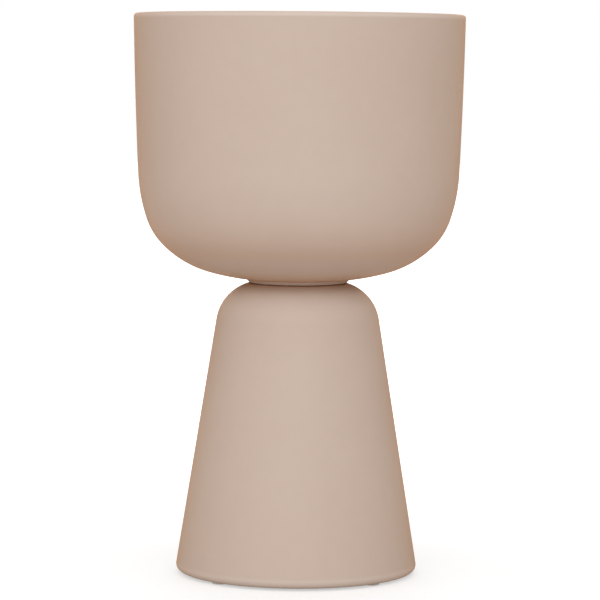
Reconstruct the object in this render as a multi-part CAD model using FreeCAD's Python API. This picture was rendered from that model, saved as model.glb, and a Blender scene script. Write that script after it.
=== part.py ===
# Flower pot on a stand: a glazed stoneware pot that lifts off, and turns on, a hollow conical stand.
# Millimetres, +Z up. The origin lies on the common axis, on the surface that the stand rests on.
# Each ceramic piece is turned from a section drawn in the half plane of radius and height.
# A tilt is the angle of a section's outline from straight down, counted inwards, towards the axis.

import FreeCAD, Part
import math
import os
from collections import namedtuple

# Running gap between round faces of pieces that come apart
clearance = 0.3

# Foot pads: clear silicone discs stuck under the stand
pad_count = 4
pad_diameter = 6.5
pad_height = 1.0
pad_edge_radius = 0.35
first_pad_angle_deg = 45.0

# Stand: outside form. The base is measured at the corner that its edge radius then rounds.
stand_height = 135.0
base_diameter = 113.6
base_edge_radius = 3.0
seat_margin = 0.5
seat_edge_radius = 3.0
stand_shoulder_radius = 20.9
stand_shoulder_drop_deg = 16.5

# Stand: wall, turned-in foot and the socket that drops into the hollow
stand_wall = 5.0
foot_ledge_width = 6.0
foot_ledge_thickness = 5.0
foot_ledge_fillet = 3.0
foot_ledge_edge_radius = 1.2
socket_past_collar = 1.4
socket_wall = 4.4
socket_root_fillet = 2.0
socket_tip_radius = 1.4
socket_lead_in_radius = 1.0

# Seat gasket: a silicone ring with a flange on the seat and a sleeve in the socket
gasket_setback = 2.3
gasket_flange_thickness = 0.4
gasket_flange_edge_radius = 0.15
gasket_sleeve_wall = 1.0
gasket_sleeve_length = 9.0
gasket_corner_radius = 0.5

# Pot: outside form, from the rim down. A turn ends at its tilt, and runs smoothly into the next.
pot_height = 124.6
rim_diameter = 154.0
pot_wall = 5.0
lip_radius = 1.5
wall_start_tilt_deg = 1.0
wall_end_tilt_deg = 2.52
upper_turn_radius = 77.3
upper_turn_end_tilt_deg = 18.9
middle_turn_radius = 31.5
middle_turn_end_tilt_deg = 44.4
lower_turn_end_tilt_deg = 73.9
floor_to_lower_turn_share = 2.2

# Pot: foot ring and the hollow collar that centres the pot in the stand
foot_ring_height = 1.0
foot_ring_diameter = 45.6
foot_ring_flare = 1.5
foot_ring_root_fillet = 0.8
foot_ring_edge_radius = 0.4
floor_flat_margin = 10.8
collar_diameter = 28.0
collar_wall = 4.2
collar_length = 12.0
collar_tip_radius = 1.2
recess_fillet = 1.6

# The most of a wall that the round on one of its edges takes up
full_round_share = 0.48

# Heights of the faces that the pieces meet at
foot_z = pad_height
seat_z = foot_z + stand_height
pot_foot_z = seat_z + gasket_flange_thickness
pot_floor_z = pot_foot_z + foot_ring_height
rim_z = pot_foot_z + pot_height
collar_tip_z = pot_foot_z - collar_length

# Radii that neighbouring pieces share
ring_radius = foot_ring_diameter / 2
ring_top_radius = ring_radius + foot_ring_flare
seat_radius = ring_radius + seat_margin
collar_radius = collar_diameter / 2
sleeve_inner_radius = collar_radius + clearance
sleeve_outer_radius = sleeve_inner_radius + gasket_sleeve_wall
socket_radius = sleeve_outer_radius + clearance

matching_tolerance = 1e-4
axis_origin = FreeCAD.Vector(0, 0, 0)
axis_direction = FreeCAD.Vector(0, 0, 1)

Bend = namedtuple("Bend", "centre_r centre_z radius start_tilt end_tilt")


class Section:
    """A closed outline in the half plane of radius and height, turned about the axis into a solid."""

    def __init__(self, r, z):
        self.start = self.here = (r, z)
        self.edges = []

    def line_to(self, r, z):
        self.edges.append(Part.makeLine(vector(*self.here), vector(r, z)))
        self.here = (r, z)

    def follow(self, bend, inset=0, backwards=False):
        """Runs along a bend from wherever the outline has reached it to the bend's far end."""
        here_tilt = tilt_of(bend, *self.here)
        far_tilt = bend.start_tilt if backwards else bend.end_tilt
        middle = on_bend(bend, (here_tilt + far_tilt) / 2, inset)
        end = on_bend(bend, far_tilt, inset)
        self.edges.append(Part.Arc(vector(*self.here), vector(*middle), vector(*end)).toShape())
        self.here = end

    def turned(self):
        if self.here != self.start:
            self.line_to(*self.start)
        face = Part.Face(Part.Wire(self.edges))
        return face.revolve(axis_origin, axis_direction, 360)


def vector(r, z):
    return FreeCAD.Vector(r, 0, z)


def on_bend(bend, tilt, inset=0):
    """The point of a bend where the outline has that tilt, moved in by the inset."""
    radius = bend.radius - inset
    return bend.centre_r + radius * math.cos(tilt), bend.centre_z - radius * math.sin(tilt)


def tilt_of(bend, r, z):
    """The outline's tilt at a point of a bend, which may also curve the other way, with its centre outside."""
    side = math.copysign(1, bend.radius)
    return math.atan2(side * (bend.centre_z - z), side * (r - bend.centre_r))


def tilt_at_height(bend, z, inset=0):
    return math.asin((bend.centre_z - z) / (bend.radius - inset))


def ring_edges(solid, r, z):
    """The round edges of a turned solid at that radius and height."""
    found = [
        edge
        for edge in solid.Edges
        if isinstance(edge.Curve, Part.Circle)
        and abs(edge.Curve.Radius - r) < matching_tolerance
        and abs(edge.Curve.Center.z - z) < matching_tolerance
    ]
    if not found:
        raise ValueError(f"no round edge at radius {r:.3f}, height {z:.3f}")
    return found


def rounded(solid, radius, *rings):
    """Rounds the edges that run round the axis at the given (radius, height) places."""
    edges = [edge for ring in rings for edge in ring_edges(solid, *ring)]
    return solid.makeFillet(radius, edges).Solids[0]


def edge_round(radius, wall):
    """The radius on both edges of a wall, no larger than the wall has room for."""
    return min(radius, wall * full_round_share)


# Stand


def stand_shoulder():
    """The shoulder's arc: from the edge of the seat to the cone, whose side is tangent to it."""
    start = math.radians(stand_shoulder_drop_deg) - math.pi / 2
    centre_r = seat_radius - stand_shoulder_radius * math.cos(start)
    centre_z = seat_z + stand_shoulder_radius * math.sin(start)
    across = base_diameter / 2 - centre_r
    up = centre_z - foot_z
    cone_angle = math.acos(stand_shoulder_radius / math.hypot(up, across)) - math.atan2(up, across)
    return Bend(centre_r, centre_z, stand_shoulder_radius, start, -cone_angle)


def foot_ledge_radii(shoulder):
    """Where the ledge that is turned in at the foot starts from the wall, and where it ends."""
    wall_r, wall_z = on_bend(shoulder, shoulder.end_tilt, stand_wall)
    drop = wall_z - foot_z - foot_ledge_thickness
    root_radius = wall_r + drop * math.tan(-shoulder.end_tilt)
    return root_radius, root_radius - foot_ledge_width


def stand():
    shoulder = stand_shoulder()
    base_radius = base_diameter / 2
    ledge_root_radius, opening_radius = foot_ledge_radii(shoulder)
    ledge_z = foot_z + foot_ledge_thickness
    socket_tip_z = collar_tip_z - socket_past_collar
    tube_radius = socket_radius + socket_wall
    inner_radius = shoulder.radius - stand_wall
    tube_root_z = shoulder.centre_z + math.sqrt(inner_radius**2 - (tube_radius - shoulder.centre_r) ** 2)

    section = Section(opening_radius, foot_z)
    section.line_to(base_radius, foot_z)
    section.line_to(*on_bend(shoulder, shoulder.end_tilt))
    section.follow(shoulder, backwards=True)
    section.line_to(socket_radius, seat_z)
    section.line_to(socket_radius, socket_tip_z)
    section.line_to(tube_radius, socket_tip_z)
    section.line_to(tube_radius, tube_root_z)
    section.follow(shoulder, inset=stand_wall)
    section.line_to(ledge_root_radius, ledge_z)
    section.line_to(opening_radius, ledge_z)
    solid = section.turned()

    tip_round = edge_round(socket_tip_radius, socket_wall)
    ledge_round = edge_round(foot_ledge_edge_radius, foot_ledge_thickness)
    solid = rounded(solid, base_edge_radius, (base_radius, foot_z))
    solid = rounded(solid, seat_edge_radius, (seat_radius, seat_z))
    solid = rounded(solid, socket_lead_in_radius, (socket_radius, seat_z))
    solid = rounded(solid, tip_round, (socket_radius, socket_tip_z), (tube_radius, socket_tip_z))
    solid = rounded(solid, socket_root_fillet, (tube_radius, tube_root_z))
    solid = rounded(solid, foot_ledge_fillet, (ledge_root_radius, ledge_z))
    return rounded(solid, ledge_round, (opening_radius, ledge_z), (opening_radius, foot_z))


# Foot pads


def foot_pad(index):
    """One of the pads, on the middle of the flat land between the foot's two rounded edges."""
    shoulder = stand_shoulder()
    corner_angle = math.pi / 2 + shoulder.end_tilt
    land_outer = base_diameter / 2 - base_edge_radius / math.tan(corner_angle / 2)
    land_inner = foot_ledge_radii(shoulder)[1] + foot_ledge_edge_radius
    land_middle = (land_outer + land_inner) / 2
    angle = math.radians(first_pad_angle_deg + 360 * index / pad_count)
    centre = FreeCAD.Vector(land_middle * math.cos(angle), land_middle * math.sin(angle), 0)
    disc = Part.makeCylinder(pad_diameter / 2, pad_height, centre)
    lower_edges = [edge for edge in disc.Edges if edge.BoundBox.ZMax < pad_height / 2]
    return disc.makeFillet(edge_round(pad_edge_radius, pad_height), lower_edges).Solids[0]


# Seat gasket


def seat_gasket():
    flange_radius = ring_radius - gasket_setback
    sleeve_tip_z = seat_z - gasket_sleeve_length

    section = Section(sleeve_inner_radius, sleeve_tip_z)
    section.line_to(sleeve_outer_radius, sleeve_tip_z)
    section.line_to(sleeve_outer_radius, seat_z)
    section.line_to(flange_radius, seat_z)
    section.line_to(flange_radius, pot_foot_z)
    section.line_to(sleeve_inner_radius, pot_foot_z)
    solid = section.turned()

    flange_round = edge_round(gasket_flange_edge_radius, gasket_flange_thickness)
    solid = rounded(solid, flange_round, (flange_radius, seat_z), (flange_radius, pot_foot_z))
    return rounded(solid, gasket_corner_radius, (sleeve_outer_radius, seat_z))


# Pot


def unit_arc_run(start, end):
    """How far in and how far down an arc of radius one runs between two tilts."""
    return math.cos(start) - math.cos(end), math.sin(end) - math.sin(start)


def pot_bends():
    """The pot's outside as arcs that run into each other, from the rim to the level of the floor.
    The wall's depth and the size of the bottom, which is the lower turn and the floor, are those that
    fill both the height under the rim and the reach inwards to the floor's flat middle."""
    wall_start = math.radians(wall_start_tilt_deg)
    wall_end = math.radians(wall_end_tilt_deg)
    upper_end = math.radians(upper_turn_end_tilt_deg)
    middle_end = math.radians(middle_turn_end_tilt_deg)
    lower_end = math.radians(lower_turn_end_tilt_deg)
    level = math.pi / 2
    rim_radius = rim_diameter / 2

    wall_in, wall_down = unit_arc_run(wall_start, wall_end)
    upper_in, upper_down = unit_arc_run(wall_end, upper_end)
    middle_in, middle_down = unit_arc_run(upper_end, middle_end)
    lower_in, lower_down = unit_arc_run(middle_end, lower_end)
    floor_in, floor_down = unit_arc_run(lower_end, level)
    bottom_in = lower_in + floor_to_lower_turn_share * floor_in
    bottom_down = lower_down + floor_to_lower_turn_share * floor_down

    floor_flat_radius = ring_top_radius - floor_flat_margin
    left_in = rim_radius - floor_flat_radius - upper_turn_radius * upper_in - middle_turn_radius * middle_in
    left_down = rim_z - pot_floor_z - upper_turn_radius * upper_down - middle_turn_radius * middle_down
    crossing = wall_down * bottom_in - wall_in * bottom_down
    wall_radius = (left_down * bottom_in - left_in * bottom_down) / crossing
    lower_radius = (left_in * wall_down - left_down * wall_in) / crossing

    centre_r = rim_radius - wall_radius * math.cos(wall_start)
    centre_z = rim_z + wall_radius * math.sin(wall_start)
    bends = [Bend(centre_r, centre_z, wall_radius, wall_start, wall_end)]
    for radius, start, end in (
        (upper_turn_radius, wall_end, upper_end),
        (middle_turn_radius, upper_end, middle_end),
        (lower_radius, middle_end, lower_end),
        (lower_radius * floor_to_lower_turn_share, lower_end, level),
    ):
        step = bends[-1].radius - radius
        centre_r += step * math.cos(start)
        centre_z -= step * math.sin(start)
        bends.append(Bend(centre_r, centre_z, radius, start, end))
    return bends


def pot():
    bends = pot_bends()
    wall = bends[0]
    floor = bends[-1]
    rim_radius = rim_diameter / 2
    mouth_radius = on_bend(wall, tilt_at_height(wall, rim_z, pot_wall), pot_wall)[0]
    recess_radius = collar_radius - collar_wall
    ring_top_tilt = math.acos((ring_top_radius - floor.centre_r) / floor.radius)
    ring_top_z = on_bend(floor, ring_top_tilt)[1]

    section = Section(0, pot_floor_z)
    section.line_to(recess_radius, pot_floor_z)
    section.line_to(recess_radius, collar_tip_z)
    section.line_to(collar_radius, collar_tip_z)
    section.line_to(collar_radius, pot_foot_z)
    section.line_to(ring_radius, pot_foot_z)
    section.line_to(ring_top_radius, ring_top_z)
    for bend in reversed(bends):
        section.follow(bend, backwards=True)
    section.line_to(mouth_radius, rim_z)
    for bend in bends:
        section.follow(bend, inset=pot_wall)
    section.line_to(0, pot_floor_z + pot_wall)
    solid = section.turned()

    tip_round = edge_round(collar_tip_radius, collar_wall)
    solid = rounded(solid, edge_round(lip_radius, pot_wall), (rim_radius, rim_z), (mouth_radius, rim_z))
    solid = rounded(solid, foot_ring_root_fillet, (ring_top_radius, ring_top_z))
    solid = rounded(solid, foot_ring_edge_radius, (ring_radius, pot_foot_z))
    solid = rounded(solid, tip_round, (collar_radius, collar_tip_z), (recess_radius, collar_tip_z))
    return rounded(solid, recess_fillet, (recess_radius, pot_floor_z))


def pieces():
    yield "stand", stand()
    for index in range(pad_count):
        yield f"foot_pad_{index + 1}", foot_pad(index)
    yield "seat_gasket", seat_gasket()
    yield "pot", pot()


os.makedirs("parts", exist_ok=True)
for name, solid in pieces():
    if not solid.isValid():
        raise ValueError(f"{name} is not a valid solid")
    solid.exportStep(f"parts/{name}.step")
    print(f"{name}: {solid.Volume:.0f} mm3, {len(solid.Faces)} faces")
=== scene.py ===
import math

import bpy
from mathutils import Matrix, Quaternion, Vector


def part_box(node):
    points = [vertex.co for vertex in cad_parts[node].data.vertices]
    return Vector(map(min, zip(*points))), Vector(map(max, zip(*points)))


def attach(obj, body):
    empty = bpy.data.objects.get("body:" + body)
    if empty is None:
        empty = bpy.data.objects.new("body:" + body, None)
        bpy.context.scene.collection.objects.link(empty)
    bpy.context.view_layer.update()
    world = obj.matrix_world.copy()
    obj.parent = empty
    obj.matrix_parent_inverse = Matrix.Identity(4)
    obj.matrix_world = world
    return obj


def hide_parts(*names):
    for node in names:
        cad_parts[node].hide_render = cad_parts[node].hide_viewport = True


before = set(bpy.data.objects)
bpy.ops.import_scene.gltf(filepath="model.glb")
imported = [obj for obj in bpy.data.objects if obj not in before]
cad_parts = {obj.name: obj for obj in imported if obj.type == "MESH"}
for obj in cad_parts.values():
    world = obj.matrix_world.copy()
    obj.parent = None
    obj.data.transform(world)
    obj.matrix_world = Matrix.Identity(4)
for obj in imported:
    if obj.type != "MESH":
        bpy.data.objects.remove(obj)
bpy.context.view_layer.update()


# Foot pads
# Four small self-adhesive discs of milky silicone, die-cut from sheet and pressed onto the bare
# land of the stand's foot, so that the fired clay doesn't scratch what it stands on.


def add_node(tree, kind, inputs=None, **settings):
    """Adds a node to a tree. An input takes a value, or the output socket that feeds it."""
    node = tree.nodes.new(kind)
    for name, value in settings.items():
        setattr(node, name, value)
    for key, value in (inputs or {}).items():
        if isinstance(value, bpy.types.NodeSocket):
            tree.links.new(value, node.inputs[key])
        else:
            node.inputs[key].default_value = value
    return node


def new_material(name):
    """A material with a Principled BSDF. Returns the material, its tree and the shader."""
    material = bpy.data.materials.new(name)
    material.use_nodes = True
    return material, material.node_tree, material.node_tree.nodes["Principled BSDF"]


def uneven_group():
    """Shader nodes that drift from one colour to another in soft lumps, so many to a metre."""
    noise_low, noise_high = 0.3, 0.7
    group = bpy.data.node_groups.new("uneven_colour", "ShaderNodeTree")
    sockets = group.interface
    sockets.new_socket("Colour", in_out="INPUT", socket_type="NodeSocketColor")
    sockets.new_socket("Toward", in_out="INPUT", socket_type="NodeSocketColor")
    sockets.new_socket("Lumps per metre", in_out="INPUT", socket_type="NodeSocketFloat")
    sockets.new_socket("Detail", in_out="INPUT", socket_type="NodeSocketFloat")
    sockets.new_socket("Colour", in_out="OUTPUT", socket_type="NodeSocketColor")
    sockets.new_socket("Unevenness", in_out="OUTPUT", socket_type="NodeSocketFloat")
    given = add_node(group, "NodeGroupInput").outputs
    place = add_node(group, "ShaderNodeTexCoord").outputs["Object"]
    lumps = add_node(
        group,
        "ShaderNodeTexNoise",
        {"Vector": place, "Scale": given["Lumps per metre"], "Detail": given["Detail"]},
    )
    share = add_node(
        group,
        "ShaderNodeMapRange",
        {"Value": lumps.outputs["Fac"], "From Min": noise_low, "From Max": noise_high},
        interpolation_type="SMOOTHSTEP",
    )
    mixed = add_node(
        group,
        "ShaderNodeMix",
        {"Factor": share.outputs["Result"], "A": given["Colour"], "B": given["Toward"]},
        data_type="RGBA",
    )
    add_node(
        group,
        "NodeGroupOutput",
        {"Colour": mixed.outputs["Result"], "Unevenness": share.outputs["Result"]},
    )
    return group


uneven = uneven_group()


def uneven_colour(tree, colour, toward, per_metre, detail):
    """Places the group above in a tree, and returns its outputs."""
    inputs = {"Colour": colour, "Toward": toward, "Lumps per metre": per_metre, "Detail": detail}
    return add_node(tree, "ShaderNodeGroup", inputs, node_tree=uneven).outputs


pad_milk = (0.66, 0.64, 0.60, 1)
pad_dusty = (0.56, 0.53, 0.48, 1)
pad_dust_per_metre = 900
pad_dust_detail = 4
pad_roughness = 0.42
pad_milkiness = 0.25
pad_light_reach = (0.001, 0.0009, 0.0008)

pad_silicone, tree, shader = new_material("milky_pad_silicone")
dust = uneven_colour(tree, pad_milk, pad_dusty, pad_dust_per_metre, pad_dust_detail)
tree.links.new(dust["Colour"], shader.inputs["Base Color"])
shader.inputs["Roughness"].default_value = pad_roughness
shader.inputs["Subsurface Weight"].default_value = pad_milkiness
shader.inputs["Subsurface Radius"].default_value = pad_light_reach

for name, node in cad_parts.items():
    if name.startswith("foot_pad"):
        node.data.materials.clear()
        node.data.materials.append(pad_silicone)


# Stand
# A hollow cone of slip-cast stoneware, about 5 mm thick: its foot is turned in to a flat land, and
# its top to a flat seat with a socket for the pot's collar. Satin beige glaze covers the outside,
# while the seat, the hollow and most of the land are left bare.

stand_low, stand_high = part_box("stand")
foot_z = stand_low.z
seat_z = stand_high.z
base_corner_radius = 0.0568
base_edge_round = 0.003
seat_radius = 0.0233
seat_edge_round = 0.003
shoulder_radius = 0.0209
shoulder_drop = math.radians(16.5)
stand_wall = 0.005
ledge_width = 0.006
ledge_thickness = 0.005
ledge_fillet = 0.003
ledge_edge_round = 0.0012
socket_radius = 0.0156
socket_depth = 0.013
socket_wall = 0.0044
socket_lead_in = 0.001
socket_tip_round = 0.0014
socket_root_fillet = 0.002
socket_root_room = 1.4 * socket_root_fillet
straight_step = 0.005
shoulder_steps = 26
hollow_steps = 16
stand_steps_around = 224


def corner(r, z, round=0.0, bare=0.0, pooling_and_painted_shading=0.0):
    """A point of a turned section: radius, height, and the round on it. Where it is bare it has
    no glaze. Elsewhere a value above 0 darkens it, as pooled glaze and painted shade, and a
    value below 0 lightens it, as thin glaze and painted light."""
    return {"r": r, "z": z, "round": round, "bare": bare, "pooling_and_painted_shading": pooling_and_painted_shading}


def straight(start, end, longest, **glaze):
    """Points along a straight run, evenly spaced, without its two ends."""
    steps = max(1, round(math.dist(start, end) / longest))
    points = []
    for step in range(1, steps):
        share = step / steps
        r = start[0] + share * (end[0] - start[0])
        z = start[1] + share * (end[1] - start[1])
        points.append(corner(r, z, **glaze))
    return points


def arc_point(centre, radius, tilt):
    """The point of an arc where the outline leans in from straight down by the tilt."""
    return centre[0] + radius * math.cos(tilt), centre[1] - radius * math.sin(tilt)


def arc(centre, radius, start, end, steps, **glaze):
    """Points along an arc, with both ends."""
    tilts = [start + (end - start) * step / steps for step in range(steps + 1)]
    return [corner(*arc_point(centre, radius, tilt), **glaze) for tilt in tilts]


def turning_tree():
    """Geometry nodes that round a section's corners and turn it about the axis, into one skin."""
    guide_radius = 0.05
    weld_distance = 1e-6
    tree = bpy.data.node_groups.new("turned_ceramic", "GeometryNodeTree")
    sockets = tree.interface
    sockets.new_socket("Section", in_out="INPUT", socket_type="NodeSocketGeometry")
    sockets.new_socket("Steps around", in_out="INPUT", socket_type="NodeSocketInt")
    sockets.new_socket("Steps in a round", in_out="INPUT", socket_type="NodeSocketInt")
    sockets.new_socket("Material", in_out="INPUT", socket_type="NodeSocketMaterial")
    sockets.new_socket("Piece", in_out="OUTPUT", socket_type="NodeSocketGeometry")
    given = add_node(tree, "NodeGroupInput").outputs

    outline = add_node(tree, "GeometryNodeMeshToCurve", {"Mesh": given["Section"]})
    rounds = add_node(tree, "GeometryNodeInputNamedAttribute", {"Name": "round"}, data_type="FLOAT")
    rounded = add_node(
        tree,
        "GeometryNodeFilletCurve",
        {
            "Curve": outline.outputs["Curve"],
            "Count": given["Steps in a round"],
            "Radius": rounds.outputs["Attribute"],
        },
        mode="POLY",
    )

    # Curve to Mesh wants the section flat, beside the guide circle that it is carried round.
    place = add_node(tree, "GeometryNodeInputPosition")
    parts = add_node(tree, "ShaderNodeSeparateXYZ", {"Vector": place.outputs["Position"]})
    outwards = add_node(
        tree, "ShaderNodeMath", {0: parts.outputs["X"], 1: guide_radius}, operation="SUBTRACT"
    )
    downwards = add_node(
        tree, "ShaderNodeMath", {0: parts.outputs["Z"], 1: -1.0}, operation="MULTIPLY"
    )
    laid = add_node(
        tree,
        "ShaderNodeCombineXYZ",
        {"X": outwards.outputs["Value"], "Y": downwards.outputs["Value"]},
    )
    profile = add_node(
        tree,
        "GeometryNodeSetPosition",
        {"Geometry": rounded.outputs["Curve"], "Position": laid.outputs["Vector"]},
    )
    guide = add_node(
        tree,
        "GeometryNodeCurvePrimitiveCircle",
        {"Resolution": given["Steps around"], "Radius": guide_radius},
        mode="RADIUS",
    )
    skin = add_node(
        tree,
        "GeometryNodeCurveToMesh",
        {"Curve": guide.outputs["Curve"], "Profile Curve": profile.outputs["Geometry"]},
    )

    # The points on the axis become one, and the faces, which come out inward, are turned round.
    closed = add_node(
        tree,
        "GeometryNodeMergeByDistance",
        {"Geometry": skin.outputs["Mesh"], "Distance": weld_distance},
    )
    outward = add_node(tree, "GeometryNodeFlipFaces", {"Mesh": closed.outputs["Geometry"]})
    smooth = add_node(tree, "GeometryNodeSetShadeSmooth", {"Geometry": outward.outputs["Mesh"]})
    real = add_node(tree, "GeometryNodeRealizeInstances", {"Geometry": smooth.outputs["Geometry"]})
    finished = add_node(
        tree,
        "GeometryNodeSetMaterial",
        {"Geometry": real.outputs["Geometry"], "Material": given["Material"]},
    )
    add_node(tree, "NodeGroupOutput", {"Piece": finished.outputs["Geometry"]})
    return tree


turning = turning_tree()
steps_in_a_round = 14


def turned_piece(name, section, closed, material, around):
    """Turns a section into a plain mesh object by the tree above."""
    mesh = bpy.data.meshes.new(name)
    count = len(section)
    edges = [(index, (index + 1) % count) for index in range(count if closed else count - 1)]
    mesh.from_pydata([(point["r"], 0, point["z"]) for point in section], edges, [])
    for trait in ("round", "bare", "pooling_and_painted_shading"):
        layer = mesh.attributes.new(trait, "FLOAT", "POINT")
        layer.data.foreach_set("value", [point[trait] for point in section])
    piece = bpy.data.objects.new(name, mesh)
    bpy.context.scene.collection.objects.link(piece)

    modifier = piece.modifiers.new("turning", "NODES")
    modifier.node_group = turning
    given = {
        "Steps around": around,
        "Steps in a round": steps_in_a_round,
        "Material": material,
    }
    for socket in turning.interface.items_tree:
        if socket.name in given:
            modifier[socket.identifier] = given[socket.name]
    evaluated = piece.evaluated_get(bpy.context.evaluated_depsgraph_get())
    piece.data = bpy.data.meshes.new_from_object(evaluated)
    piece.modifiers.remove(modifier)
    bpy.data.meshes.remove(mesh)
    return piece


glaze_body = (0.582, 0.484, 0.425, 1)
glaze_cloud = (0.57, 0.47, 0.411, 1)
# A lighter colour for thin glaze and painted light, and a darker one for pooled glaze and painted
# shade.
thin_glaze_and_painted_light = (0.68, 0.60, 0.555, 1)
pooled_glaze_and_painted_shade = (0.566, 0.391, 0.294, 1)
glaze_speck = (0.985, 0.982, 0.978, 1)
glaze_depth = (0.98, 0.93, 0.885, 1)
clay_buff = (0.60, 0.51, 0.41, 1)
clay_sandy = (0.50, 0.41, 0.32, 1)
plain_white = (1, 1, 1, 1)
most_pooling_and_shade = 0.8
most_thinning_and_light = 0.7
glossiest_satin = 0.54
dullest_satin = 0.6
clay_roughness = 0.92
relief_strength = 0.12
relief_height = 0.00006
coat_roughness = 0.65
coat_ior = 1.01
glaze_specular = 0.25


def point_value(tree, name):
    """A value that the section's points carry onto the piece."""
    return add_node(tree, "ShaderNodeAttribute", attribute_name=name).outputs["Fac"]


def mapped(tree, value, low, high, to_low=0.0, to_high=1.0):
    """A value taken from one range to another, and held at its ends."""
    inputs = {
        "Value": value,
        "From Min": low,
        "From Max": high,
        "To Min": to_low,
        "To Max": to_high,
    }
    return add_node(tree, "ShaderNodeMapRange", inputs).outputs["Result"]


def blended(tree, factor, first, second, blend_type="MIX"):
    """One colour laid over another, as far as the factor says."""
    inputs = {"Factor": factor, "A": first, "B": second}
    mix = add_node(tree, "ShaderNodeMix", inputs, data_type="RGBA", blend_type=blend_type)
    return mix.outputs["Result"]


def between(tree, factor, first, second):
    """A value between two others, as far along as the factor says."""
    inputs = {"Factor": factor, "A": first, "B": second}
    return add_node(tree, "ShaderNodeMix", inputs, data_type="FLOAT").outputs["Result"]


def glaze_group():
    """Shader nodes for satin glaze on clay: colour, roughness, the height of the fine relief, and
    where the glaze lies."""
    line_wobble = 0.3
    line_start, line_end = 0.44, 0.56
    group = bpy.data.node_groups.new("satin_glaze", "ShaderNodeTree")
    sockets = group.interface
    sockets.new_socket("Colour", in_out="OUTPUT", socket_type="NodeSocketColor")
    sockets.new_socket("Roughness", in_out="OUTPUT", socket_type="NodeSocketFloat")
    sockets.new_socket("Relief", in_out="OUTPUT", socket_type="NodeSocketFloat")
    sockets.new_socket("Glazed", in_out="OUTPUT", socket_type="NodeSocketFloat")

    clouds = uneven_colour(group, glaze_body, glaze_cloud, per_metre=14, detail=2)
    specks = uneven_colour(group, plain_white, glaze_speck, per_metre=160, detail=5)
    grain = uneven_colour(group, clay_buff, clay_sandy, per_metre=1100, detail=4)
    peel = uneven_colour(group, plain_white, plain_white, per_metre=420, detail=2)
    wobble = uneven_colour(group, plain_white, plain_white, per_metre=260, detail=3)

    colour = blended(group, 1.0, clouds["Colour"], specks["Colour"], "MULTIPLY")
    # Above 0 a point darkens, as pooled glaze and painted shade; below 0 it lightens, as thin glaze
    # and painted light.
    pooling_and_painted_shading = point_value(group, "pooling_and_painted_shading")
    colour = blended(group, mapped(group, pooling_and_painted_shading, 0, 1, 0, most_pooling_and_shade), colour, pooled_glaze_and_painted_shade)
    colour = blended(group, mapped(group, pooling_and_painted_shading, 0, -1, 0, most_thinning_and_light), colour, thin_glaze_and_painted_light)

    # The glaze stops at a line that wanders a little, where the clay was wiped before firing.
    line_shift = mapped(group, wobble["Unevenness"], 0, 1, -line_wobble, line_wobble)
    line = add_node(group, "ShaderNodeMath", {0: point_value(group, "bare"), 1: line_shift})
    bare = mapped(group, line.outputs["Value"], line_start, line_end)
    colour = blended(group, bare, colour, grain["Colour"])

    satin = mapped(group, clouds["Unevenness"], 0, 1, glossiest_satin, dullest_satin)
    add_node(
        group,
        "NodeGroupOutput",
        {
            "Colour": colour,
            "Roughness": between(group, bare, satin, clay_roughness),
            "Relief": between(group, bare, peel["Unevenness"], grain["Unevenness"]),
            "Glazed": mapped(group, bare, 0, 1, 1, 0),
        },
    )
    return group


beige_glaze, tree, shader = new_material("satin_beige_glaze")
glaze = add_node(tree, "ShaderNodeGroup", node_tree=glaze_group()).outputs
relief = add_node(
    tree,
    "ShaderNodeBump",
    {"Strength": relief_strength, "Distance": relief_height, "Height": glaze["Relief"]},
)
tree.links.new(glaze["Colour"], shader.inputs["Base Color"])
tree.links.new(glaze["Roughness"], shader.inputs["Roughness"])
tree.links.new(relief.outputs["Normal"], shader.inputs["Normal"])
tree.links.new(glaze["Glazed"], shader.inputs["Coat Weight"])
shader.inputs["Coat Roughness"].default_value = coat_roughness
shader.inputs["Coat IOR"].default_value = coat_ior
shader.inputs["Coat Tint"].default_value = glaze_depth
shader.inputs["Specular IOR Level"].default_value = glaze_specular

# The cone is the line from the base corner that touches the shoulder's arc, and the hollow follows
# both at the wall's thickness.
shoulder_centre = (
    seat_radius - shoulder_radius * math.sin(shoulder_drop),
    seat_z - shoulder_radius * math.cos(shoulder_drop),
)
cone_across = base_corner_radius - shoulder_centre[0]
cone_up = shoulder_centre[1] - foot_z
cone_lean = math.acos(shoulder_radius / math.hypot(cone_up, cone_across)) - math.atan2(
    cone_up, cone_across
)
shoulder_start = shoulder_drop - math.pi / 2
inner_shoulder_radius = shoulder_radius - stand_wall
cone_top = arc_point(shoulder_centre, shoulder_radius, -cone_lean)
hollow_top = arc_point(shoulder_centre, inner_shoulder_radius, -cone_lean)
ledge_z = foot_z + ledge_thickness
ledge_root_radius = hollow_top[0] + (hollow_top[1] - ledge_z) * math.tan(cone_lean)
opening_radius = ledge_root_radius - ledge_width
socket_tip_z = seat_z - socket_depth
tube_radius = socket_radius + socket_wall
tube_root_tilt = -math.acos((tube_radius - shoulder_centre[0]) / inner_shoulder_radius)
tube_root_z = arc_point(shoulder_centre, inner_shoulder_radius, tube_root_tilt)[1]
hollow_first_tilt = tube_root_tilt + socket_root_room / inner_shoulder_radius

# Beside the flat seat the glaze is darkened as painted shade under the pot, and over the
# shoulder's bend it is lightened as painted light. Over the base edge the glaze is thin.
land_glaze_radius = 0.0526
seat_glaze_radius = 0.0214
glaze_line_half = 0.0004
base_edge_pooled = -0.45
shoulder_painted_light = 0.6
seat_painted_shade = 0.9
seat_shade_from = 0.65
shoulder = arc(shoulder_centre, shoulder_radius, -cone_lean, shoulder_start, shoulder_steps)
# Painted light rises to the middle of the shoulder, and painted shade gathers toward the seat.
for step, point in enumerate(shoulder):
    share = step / shoulder_steps
    seat_shade = max(0.0, (share - seat_shade_from) / (1 - seat_shade_from))
    point["pooling_and_painted_shading"] = seat_painted_shade * seat_shade - shoulder_painted_light * math.sin(math.pi * share)

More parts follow.
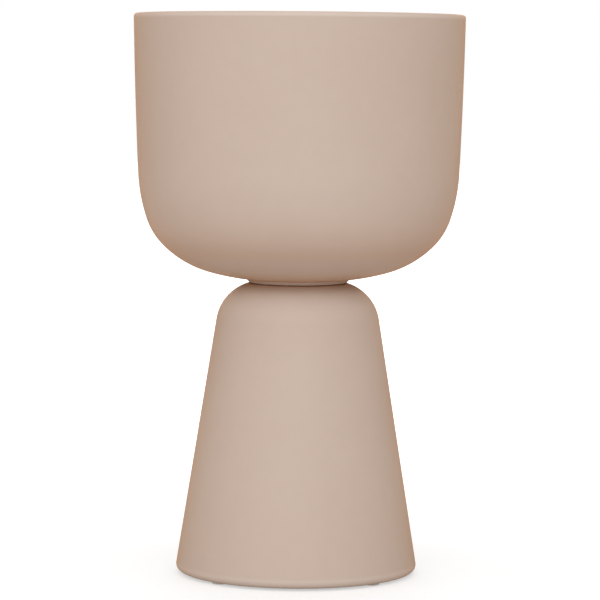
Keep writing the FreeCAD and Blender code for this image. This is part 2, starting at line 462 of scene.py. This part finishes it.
stand_section = [
    corner(opening_radius, foot_z, round=ledge_edge_round, bare=1),
    corner(land_glaze_radius - glaze_line_half, foot_z, bare=1),
    corner(land_glaze_radius + glaze_line_half, foot_z),
    corner(base_corner_radius, foot_z, round=base_edge_round, pooling_and_painted_shading=base_edge_pooled),
    *straight((base_corner_radius, foot_z), cone_top, straight_step),
    *shoulder[:-1],
    corner(seat_radius, seat_z, round=seat_edge_round, pooling_and_painted_shading=seat_painted_shade),
    corner(seat_glaze_radius + glaze_line_half, seat_z),
    corner(seat_glaze_radius - glaze_line_half, seat_z, bare=1),
    corner(socket_radius, seat_z, round=socket_lead_in, bare=1),
    corner(socket_radius, socket_tip_z, round=socket_tip_round, bare=1),
    corner(tube_radius, socket_tip_z, round=socket_tip_round, bare=1),
    corner(tube_radius, tube_root_z, round=socket_root_fillet, bare=1),
    *arc(
        shoulder_centre, inner_shoulder_radius, hollow_first_tilt, -cone_lean, hollow_steps, bare=1
    ),
    *straight(hollow_top, (ledge_root_radius, ledge_z), straight_step, bare=1),
    corner(ledge_root_radius, ledge_z, round=ledge_fillet, bare=1),
    corner(opening_radius, ledge_z, round=ledge_edge_round, bare=1),
]

stand = turned_piece("stand_shell", stand_section, True, beige_glaze, around=stand_steps_around)
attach(stand, "stand")
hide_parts("stand")


# Seat gasket
# A soft ring moulded in brown silicone: its flange lies on the stand's seat and its sleeve lines
# the socket, so that the pot's foot ring and collar never grate on the stand. It is pushed in by
# hand.

gasket_dark = (0.30, 0.20, 0.14, 1)
gasket_worn = (0.36, 0.26, 0.19, 1)
gasket_bloom_per_metre = 700
gasket_bloom_detail = 5
gasket_roughness = 0.62

gasket_silicone, tree, shader = new_material("brown_gasket_silicone")
bloom = uneven_colour(tree, gasket_dark, gasket_worn, gasket_bloom_per_metre, gasket_bloom_detail)
tree.links.new(bloom["Colour"], shader.inputs["Base Color"])
shader.inputs["Roughness"].default_value = gasket_roughness

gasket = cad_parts["seat_gasket"]
gasket.data.materials.clear()
gasket.data.materials.append(gasket_silicone)


# Pot
# A round-bottomed bowl of the same slip-cast stoneware and glaze, about 5 mm thick with a rounded
# lip. It stands on a low flared foot ring, and a hollow collar under its floor centres it in the
# stand. It is only set down there, and lifts off.

pot_low, pot_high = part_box("pot")
rim_z = pot_high.z
collar_tip_z = pot_low.z
collar_length = 0.012
pot_foot_z = collar_tip_z + collar_length
rim_radius = 0.077
pot_wall = 0.005
lip_round = 0.0015
wall_start = math.radians(1.0)
wall_end = math.radians(2.52)
upper_end = math.radians(18.9)
middle_end = math.radians(44.4)
lower_end = math.radians(73.9)
level = math.radians(90)
upper_radius = 0.0773
middle_radius = 0.0315
floor_to_lower_share = 2.2
ring_height = 0.001
ring_radius = 0.0228
ring_flare = 0.0015
ring_root_fillet = 0.0008
ring_edge_round = 0.0004
floor_flat_margin = 0.0108
collar_radius = 0.014
collar_wall = 0.0042
collar_tip_round = 0.0012
recess_fillet = 0.0016
wall_steps = 15
upper_steps = 8
middle_steps = 12
lower_steps = 16
floor_steps = 8
pot_steps_around = 256

under_z = pot_foot_z + ring_height
ring_top_radius = ring_radius + ring_flare
floor_flat_radius = ring_top_radius - floor_flat_margin
recess_radius = collar_radius - collar_wall

# Five arcs run into one another from the rim to the floor. The wall's depth and the lower arc's
# radius follow from how far the five have to reach, inwards (draw) and down (depth).
wall_draw_share = math.tan((wall_start + wall_end) / 2)
upper_draw = upper_radius * (math.cos(wall_end) - math.cos(upper_end))
middle_draw = middle_radius * (math.cos(upper_end) - math.cos(middle_end))
upper_depth = upper_radius * (math.sin(upper_end) - math.sin(wall_end))
middle_depth = middle_radius * (math.sin(middle_end) - math.sin(upper_end))
bottom_draw_share = (
    math.cos(middle_end) - math.cos(lower_end) + floor_to_lower_share * math.cos(lower_end)
)
bottom_depth_share = (
    math.sin(lower_end) - math.sin(middle_end) + floor_to_lower_share * (1 - math.sin(lower_end))
)
bottom_slope = bottom_depth_share / bottom_draw_share
reach = rim_radius - upper_draw - middle_draw - floor_flat_radius
wall_depth = (rim_z - under_z - upper_depth - middle_depth - bottom_slope * reach) / (
    1 - bottom_slope * wall_draw_share
)
lower_radius = (reach - wall_draw_share * wall_depth) / bottom_draw_share
wall_radius = wall_depth / (math.sin(wall_end) - math.sin(wall_start))

bends = []
radius = wall_radius
centre = Vector(
    (rim_radius - radius * math.cos(wall_start), rim_z + radius * math.sin(wall_start))
)
for next_radius, start, end, steps in (
    (wall_radius, wall_start, wall_end, wall_steps),
    (upper_radius, wall_end, upper_end, upper_steps),
    (middle_radius, upper_end, middle_end, middle_steps),
    (lower_radius, middle_end, lower_end, lower_steps),
    (lower_radius * floor_to_lower_share, lower_end, level, floor_steps),
):
    centre = centre + (radius - next_radius) * Vector((math.cos(start), -math.sin(start)))
    radius = next_radius
    bends.append((tuple(centre), radius, start, end, steps))

under_centre, under_radius = bends[-1][:2]
ring_top_tilt = math.acos((ring_top_radius - under_centre[0]) / under_radius)
ring_top_z = arc_point(under_centre, under_radius, ring_top_tilt)[1]
wall_centre = bends[0][0]
inner_wall_radius = wall_radius - pot_wall
mouth_tilt = math.asin((wall_centre[1] - rim_z) / inner_wall_radius)
mouth_radius = arc_point(wall_centre, inner_wall_radius, mouth_tilt)[0]

outside = arc(under_centre, under_radius, ring_top_tilt, lower_end, floor_steps)[1:]
for centre, radius, start, end, steps in reversed(bends[:-1]):
    outside += arc(centre, radius, end, start, steps)[1:]
inside = []
for centre, radius, start, end, steps in bends:
    inside += arc(centre, radius - pot_wall, start, end, steps)[1:]

# The glaze's colour carries painted light and shade. The lip is lighter, as thin glaze and a
# painted highlight. The belly grows darker and browner towards the bottom as painted shade, and
# just above the foot ring it is lightened as painted light where the stand shades it. The foot
# ring's edge and root are darkened as painted shade in the gap, with glaze pooled at the root.
ring_glaze_radius = 0.0217
ring_edge_painted_shade = 0.5
ring_root_pooling_and_shade = 0.3
lip_thin_glaze_and_highlight = -1
lip_fade = 0.0025
lip_fade_tilt = wall_start + lip_fade / wall_radius
belly_shade_top_z = 0.175
belly_shade_depth = 0.037
belly_shade_most = 0.7
underside_light_z = 0.152
underside_light_most = 1.6
# Painted shade darkens the belly towards the bottom, and painted light lightens it above the ring.
for point in outside:
    belly_painted_shade = (belly_shade_top_z - point["z"]) / belly_shade_depth
    underside_painted_light = underside_light_most * (underside_light_z - point["z"]) / (underside_light_z - ring_top_z)
    point["pooling_and_painted_shading"] = min(max(belly_painted_shade, 0.0), belly_shade_most) - max(underside_painted_light, 0.0)

pot_section = [
    corner(0, under_z, bare=1),
    corner(recess_radius, under_z, round=recess_fillet, bare=1),
    corner(recess_radius, collar_tip_z, round=collar_tip_round, bare=1),
    corner(collar_radius, collar_tip_z, round=collar_tip_round, bare=1),
    corner(collar_radius, pot_foot_z, bare=1),
    corner(ring_glaze_radius - glaze_line_half, pot_foot_z, bare=1),
    corner(ring_glaze_radius + glaze_line_half, pot_foot_z),
    # The foot ring's edge and root get painted shade.
    corner(ring_radius, pot_foot_z, round=ring_edge_round, pooling_and_painted_shading=ring_edge_painted_shade),
    corner(ring_top_radius, ring_top_z, round=ring_root_fillet, pooling_and_painted_shading=ring_root_pooling_and_shade),
    *outside[:-1],
    corner(*arc_point(wall_centre, wall_radius, lip_fade_tilt)),
    # The lip gets thin glaze and a painted highlight.
    corner(rim_radius, rim_z, round=lip_round, pooling_and_painted_shading=lip_thin_glaze_and_highlight),
    corner(mouth_radius, rim_z, round=lip_round, pooling_and_painted_shading=lip_thin_glaze_and_highlight),
    corner(*arc_point(wall_centre, inner_wall_radius, lip_fade_tilt)),
    *inside,
    corner(0, under_z + pot_wall),
]

pot = turned_piece("pot_shell", pot_section, False, beige_glaze, around=pot_steps_around)
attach(pot, "pot")
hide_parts("pot")


# Floor
# A plain pale studio floor. To the camera it runs into the white behind it, and keeps the shadow.
# From below it is clear, and open under the stand's hollow, so that the underside can be seen.

floor_radius = 6.0
floor_opening = 0.043
floor_sides = 64
floor_points = []
for side in range(floor_sides):
    turn = math.tau * side / floor_sides
    for edge_radius in (floor_opening, floor_radius):
        floor_points.append((edge_radius * math.cos(turn), edge_radius * math.sin(turn), 0))
floor_faces = [
    tuple((2 * side + step) % (2 * floor_sides) for step in (0, 1, 3, 2))
    for side in range(floor_sides)
]
floor_mesh = bpy.data.meshes.new("floor")
floor_mesh.from_pydata(floor_points, [], floor_faces)
floor = bpy.data.objects.new("floor", floor_mesh)
bpy.context.scene.collection.objects.link(floor)


def worked_out(tree, operation, first, second):
    """The result of a sum on two values of a material."""
    inputs = {0: first, 1: second}
    return add_node(tree, "ShaderNodeMath", inputs, operation=operation).outputs["Value"]


def seen_directly(tree):
    """1 for the rays of the camera, mirrors and glass, which show the backdrop white, else 0."""
    path = add_node(tree, "ShaderNodeLightPath").outputs
    mirrored = worked_out(tree, "MAXIMUM", path["Is Glossy Ray"], path["Is Transmission Ray"])
    return worked_out(tree, "MAXIMUM", path["Is Camera Ray"], mirrored)


floor_pale = (0.6, 0.6, 0.6, 1)
floor_roughness = 0.9
floor_specular = 0.1
near_reach, far_reach = 0.1, 0.5
near_glow, far_glow = 0.5, 1

floor_white, tree, shader = new_material("floor_white")
shader.inputs["Base Color"].default_value = floor_pale
shader.inputs["Roughness"].default_value = floor_roughness
shader.inputs["Specular IOR Level"].default_value = floor_specular
floor_place = add_node(tree, "ShaderNodeTexCoord").outputs["Object"]
floor_reach = add_node(tree, "ShaderNodeVectorMath", {0: floor_place}, operation="LENGTH")
whiteness = mapped(tree, floor_reach.outputs["Value"], near_reach, far_reach, near_glow, far_glow)
glow = worked_out(tree, "MULTIPLY", whiteness, seen_directly(tree))
shader.inputs["Emission Color"].default_value = plain_white
tree.links.new(glow, shader.inputs["Emission Strength"])
below = add_node(tree, "ShaderNodeNewGeometry").outputs["Backfacing"]
clear = add_node(tree, "ShaderNodeBsdfTransparent").outputs["BSDF"]
one_sided = add_node(tree, "ShaderNodeMixShader", {0: below, 1: shader.outputs["BSDF"], 2: clear})
tree.links.new(one_sided.outputs["Shader"], tree.nodes["Material Output"].inputs["Surface"])
floor_mesh.materials.append(floor_white)


# Light
# Soft studio light, mostly from the white room itself. Broad softboxes add to it: a low one and a
# high one in front, one at each side, one overhead and one behind, all aimed at the middle of the
# object.

room_light = 0.607
object_middle = Vector((0, 0, 0.14))

world = bpy.data.worlds.new("studio")
bpy.context.scene.world = world
world.use_nodes = True
tree = world.node_tree
room = tree.nodes["Background"]
room.inputs["Color"].default_value = plain_white
tree.links.new(mapped(tree, seen_directly(tree), 0, 1, room_light, 1), room.inputs["Strength"])


def softbox(name, place, size, watts):
    """A rectangular area lamp that faces the middle of the object."""
    lamp = bpy.data.lights.new(name, "AREA")
    lamp.shape = "RECTANGLE"
    lamp.size, lamp.size_y = size
    lamp.energy = watts
    box = bpy.data.objects.new(name, lamp)
    bpy.context.scene.collection.objects.link(box)
    box.location = place
    box.rotation_mode = "QUATERNION"
    box.rotation_quaternion = (object_middle - box.location).to_track_quat("-Z", "Y")
    box.visible_camera = False


softbox("front_softbox", place=(0.0, -2.2, 0.27), size=(2.4, 0.5), watts=12.5)
softbox("high_softbox", place=(0.0, -2.0, 1.0), size=(2.4, 0.8), watts=9.5)
softbox("left_softbox", place=(-1.6, -0.7, 0.7), size=(0.8, 1.0), watts=2.8)
softbox("right_softbox", place=(1.6, -0.7, 0.7), size=(0.8, 1.0), watts=1.7)
softbox("top_softbox", place=(0.0, -0.2, 1.7), size=(1.2, 1.2), watts=2.0)
softbox("back_softbox", place=(0.0, 1.9, 0.8), size=(1.8, 1.2), watts=11.7)


# Camera
# Far back with a long lens, a little below the height of the rim and looking slightly down, as the
# photograph was taken.

camera_place = (0, -1.391, 0.2362)
camera_aim = Vector((0.00103, 0, 0.128))
camera_roll = math.radians(0.422)
camera_lens = 179.1
camera_sensor = 36

camera_data = bpy.data.cameras.new("camera")
camera_data.lens = camera_lens
camera_data.sensor_width = camera_sensor
camera = bpy.data.objects.new("camera", camera_data)
bpy.context.scene.collection.objects.link(camera)
camera.location = camera_place
sight = (camera_aim - camera.location).to_track_quat("-Z", "Y")
camera.rotation_mode = "QUATERNION"
camera.rotation_quaternion = sight @ Quaternion((0, 0, 1), camera_roll)
bpy.context.scene.camera = camera

bpy.context.scene.view_settings.view_transform = "Standard"
